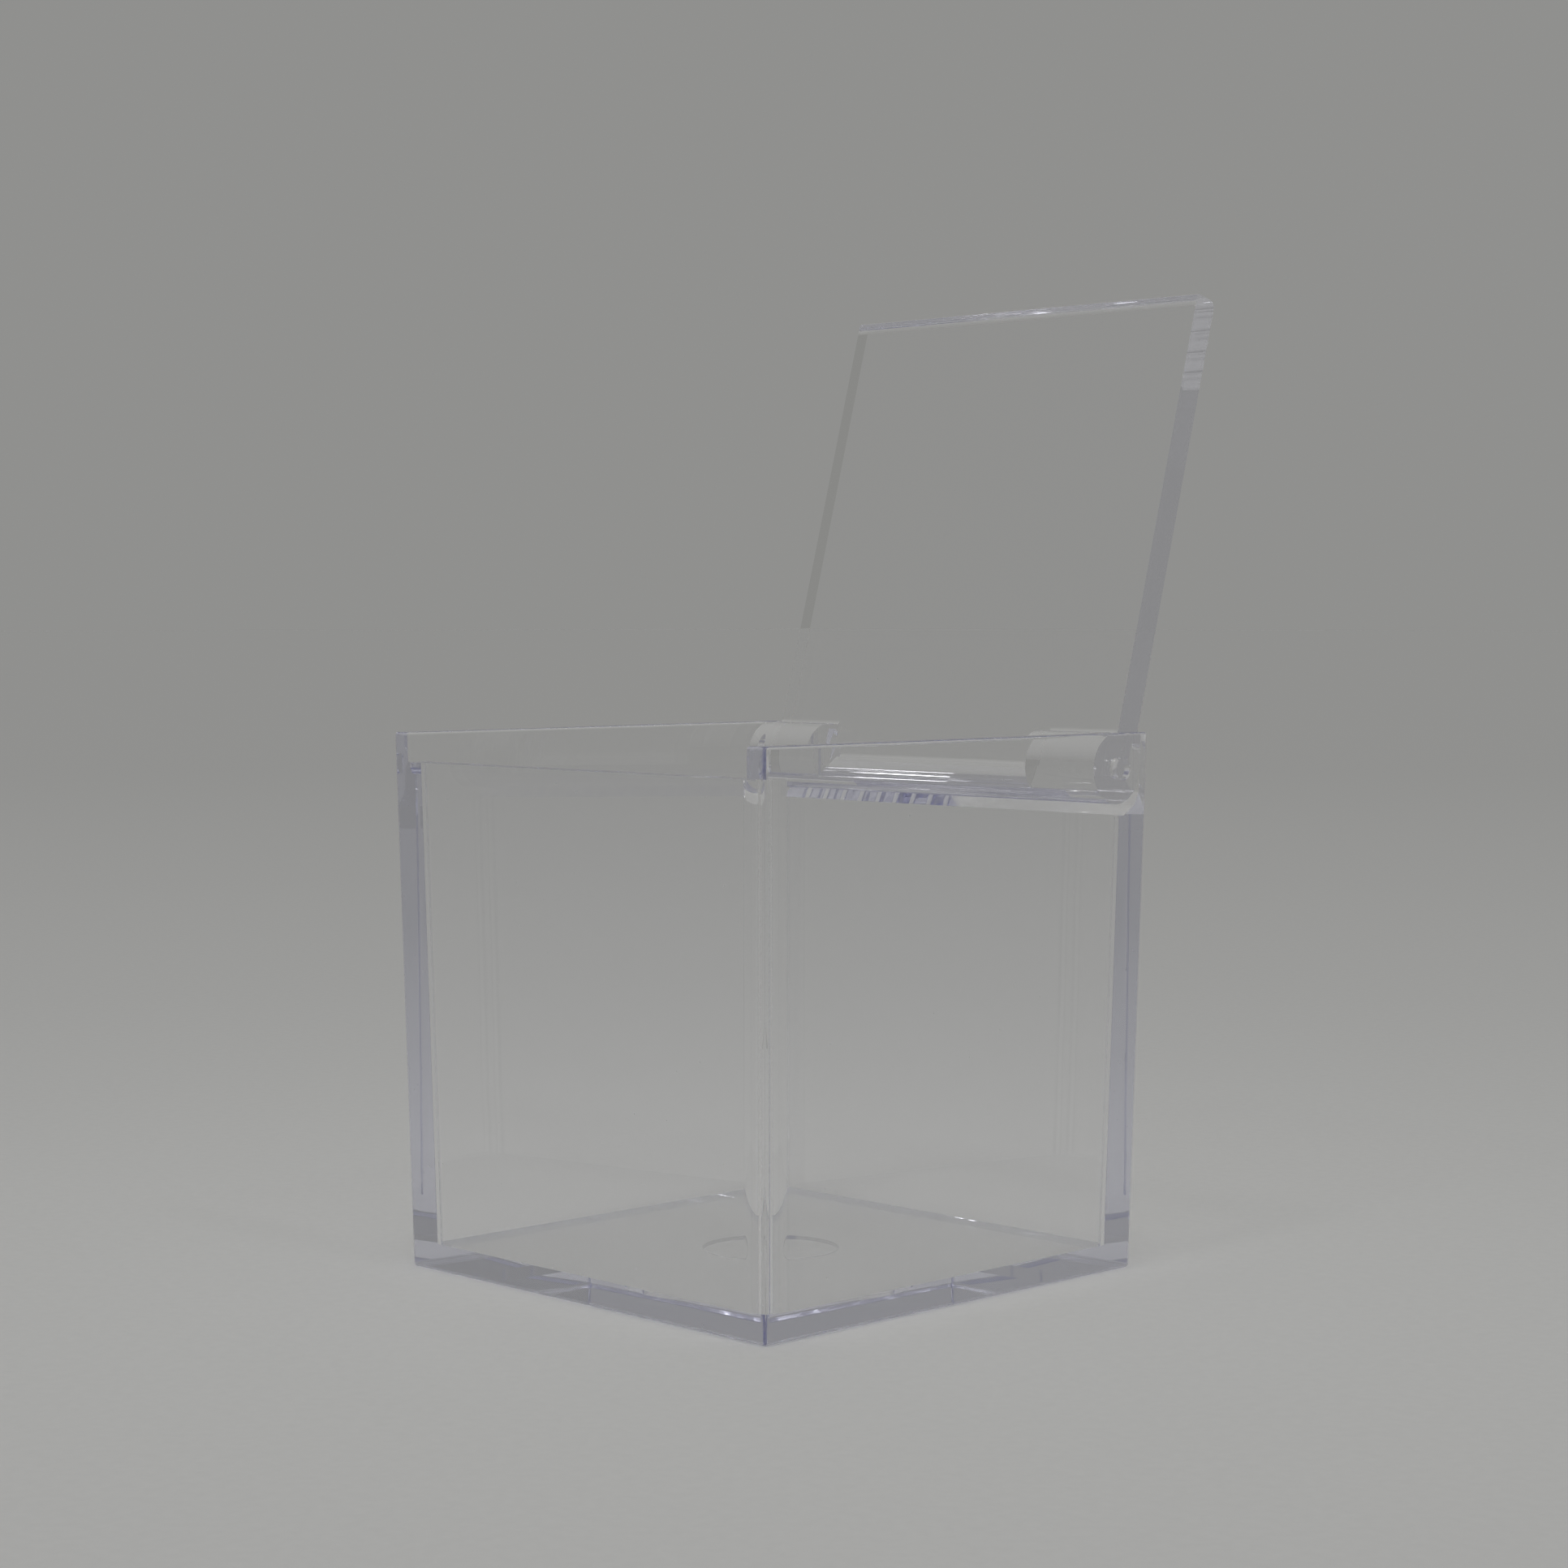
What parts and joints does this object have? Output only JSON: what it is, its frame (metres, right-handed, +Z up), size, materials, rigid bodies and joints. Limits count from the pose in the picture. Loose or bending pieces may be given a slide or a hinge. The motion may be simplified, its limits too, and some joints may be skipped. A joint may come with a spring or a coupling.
{
  "type": "hinged acrylic display cube",
  "caption": "Small clear hinged display cube: an open-topped clear box whose flat clear lid swings back on two moulded pivot nubs and stands open on its stop.",
  "frame": {"origin": "middle of the underside, on the surface the box stands on", "axes": "+Z up; +X along the hinge; -Y is the front wall, +Y the hinge wall"},
  "size_m": [0.0496, 0.062, 0.0913],
  "materials": {
    "clear_box": "clear polished moulding with a faint violet edge tint",
    "clear_lid": "clear polished moulding with a faint violet edge tint"
  },
  "bodies": {
    "box": {"box_body": "clear_box"},
    "cover": {"lid": "clear_lid"}
  },
  "joints": [
    {"name": "lid_hinge", "type": "hinge", "parent": "box", "child": "cover", "pos_m": [0, 0.02183, 0.0467], "axis": [1, 0, 0], "range_deg": [0, 105.5]}
  ]
}
